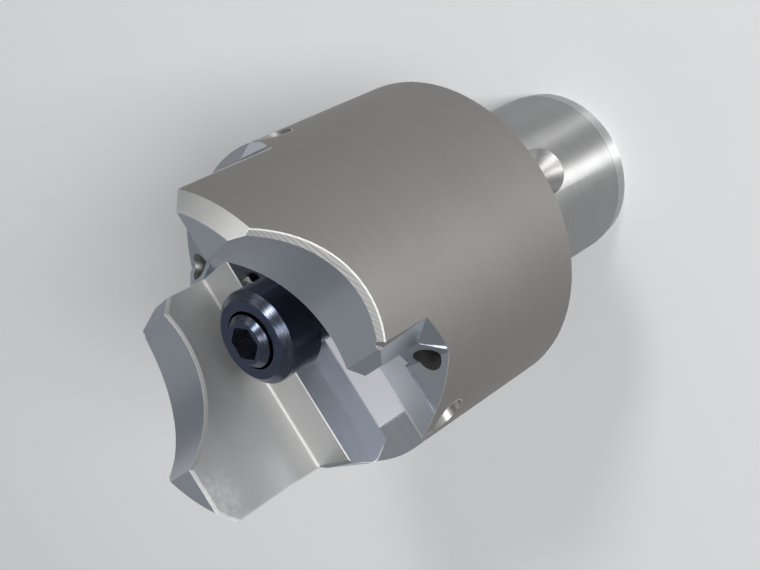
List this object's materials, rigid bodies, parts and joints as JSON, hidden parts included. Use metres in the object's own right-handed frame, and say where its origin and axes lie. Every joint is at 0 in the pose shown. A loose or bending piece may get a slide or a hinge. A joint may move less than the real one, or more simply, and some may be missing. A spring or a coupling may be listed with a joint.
{
  "type": "twin boring head",
  "caption": "Modular twin-cutter boring head: slotted head with a cylindrical pilot, a central clamp collar and its socket-head clamp screw.",
  "frame": {"origin": "centre of the pilot's end face, on the tool axis", "axes": "+Z along the tool axis towards the cutting end, X along the slot for the insert holders, the pilot's conical recess on +Y"},
  "size_m": [0.064, 0.064, 0.109],
  "materials": {
    "head_steel": "satin nickel-grey with fine turning marks",
    "black_oxide_steel": "glossy black oxide",
    "screw_steel": "black oxide, worn bright on the edge",
    "spring_steel": "oiled spring wire"
  },
  "bodies": {
    "head": {"head_body": "head_steel", "lift_spring": "spring_steel"},
    "collar": {"clamp_collar": "black_oxide_steel"},
    "screw": {"clamp_screw": "screw_steel"}
  },
  "joints": [
    {"name": "collar_travel", "type": "slide", "parent": "head", "child": "collar", "axis": [0, 0, 1], "range_m": [-0.0026, 0.002], "deforming": ["lift_spring"]},
    {"name": "screw_turn", "type": "hinge", "parent": "collar", "child": "screw", "pos_m": [0, 0, 0.0895], "axis": [0, 0, 1], "range_deg": [-755, 582]}
  ],
  "couplings": [
    {"joint": "screw_turn", "follows": "collar_travel", "rad_per_m": 5026.5}
  ]
}
